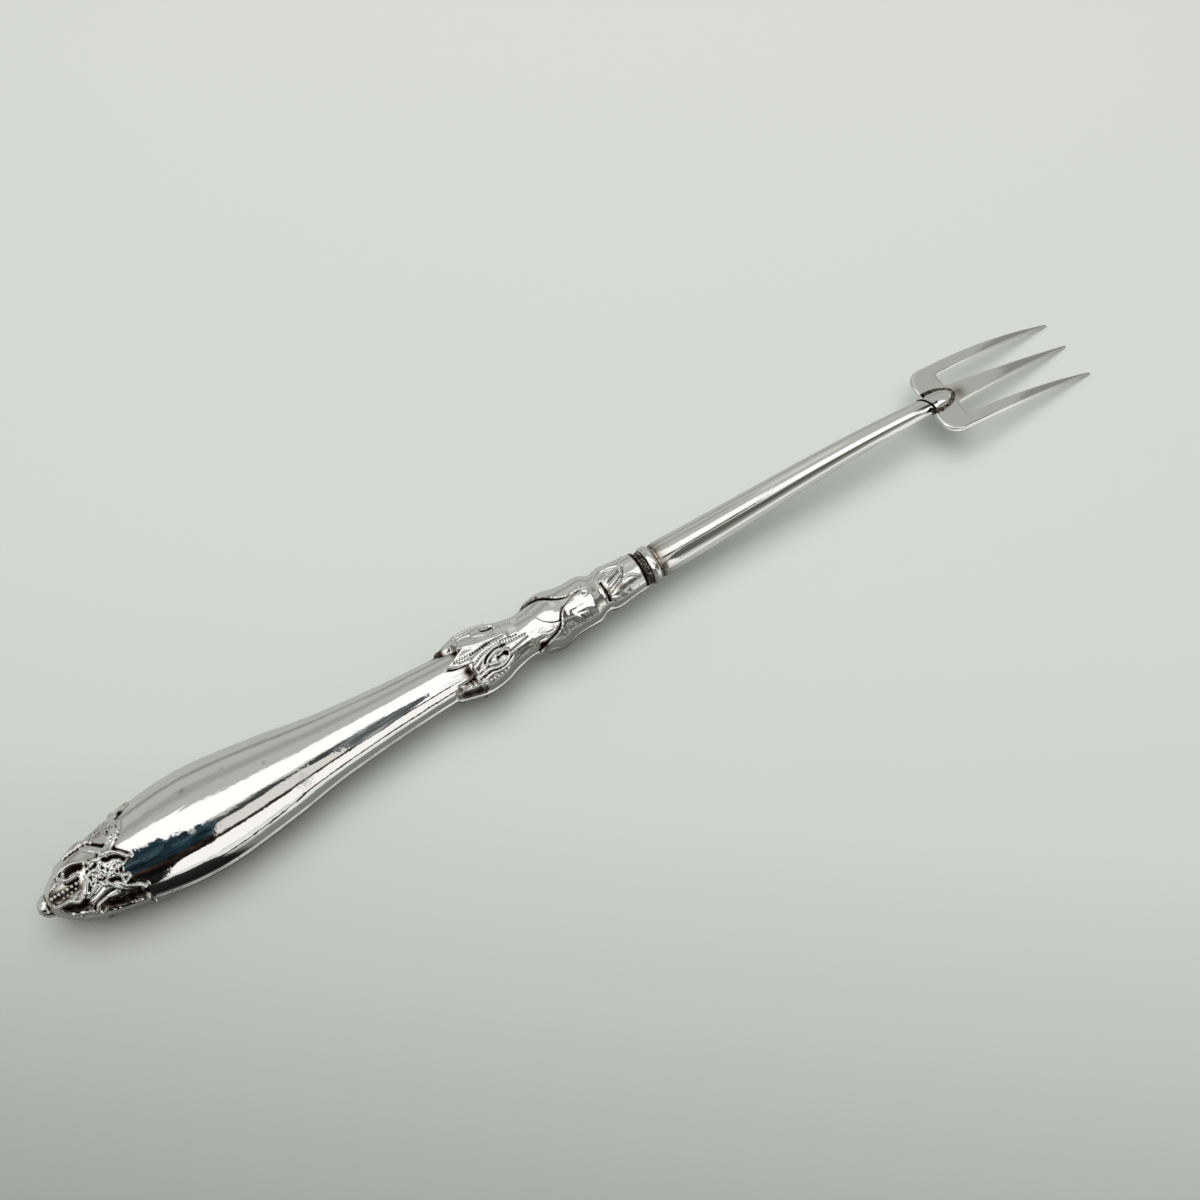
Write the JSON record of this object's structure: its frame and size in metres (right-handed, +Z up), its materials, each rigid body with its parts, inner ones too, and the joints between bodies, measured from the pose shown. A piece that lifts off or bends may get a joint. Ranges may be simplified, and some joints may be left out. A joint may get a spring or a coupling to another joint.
{
  "type": "pickle fork",
  "caption": "Antique polished silver pickle fork with a hollow ornamented handle, a slim round tapered shank and a flat head of pointed tines.",
  "frame": {"origin": "On the table plane, under the middle of the fork's bounding box.", "axes": "+X from the butt to the tine tips, +Z up from the table, +Y to the left of the tines; the fork lies on its belly and its tine tips."},
  "size_m": [0.2, 0.0176, 0.015],
  "materials": {
    "silver": "polished silver with light wear",
    "solder": "dull silver solder",
    "brazing": "tarnished yellow-brown solder",
    "steel": "plain drawn rod",
    "pitch": "dark resin and pitch filling",
    "cement": "dark brown cutler's cement"
  },
  "bodies": {
    "root": {"handle_upper_shell": "silver", "handle_lower_shell": "silver", "seam_solder_left": "solder", "seam_solder_right": "solder", "butt_bead": "silver", "pitch_core": "pitch", "tang": "steel", "mouth_cement": "cement", "bolster_ring": "silver", "collar_solder": "brazing", "shank": "silver", "fork_head": "silver", "head_solder": "brazing"}
  },
  "joints": []
}
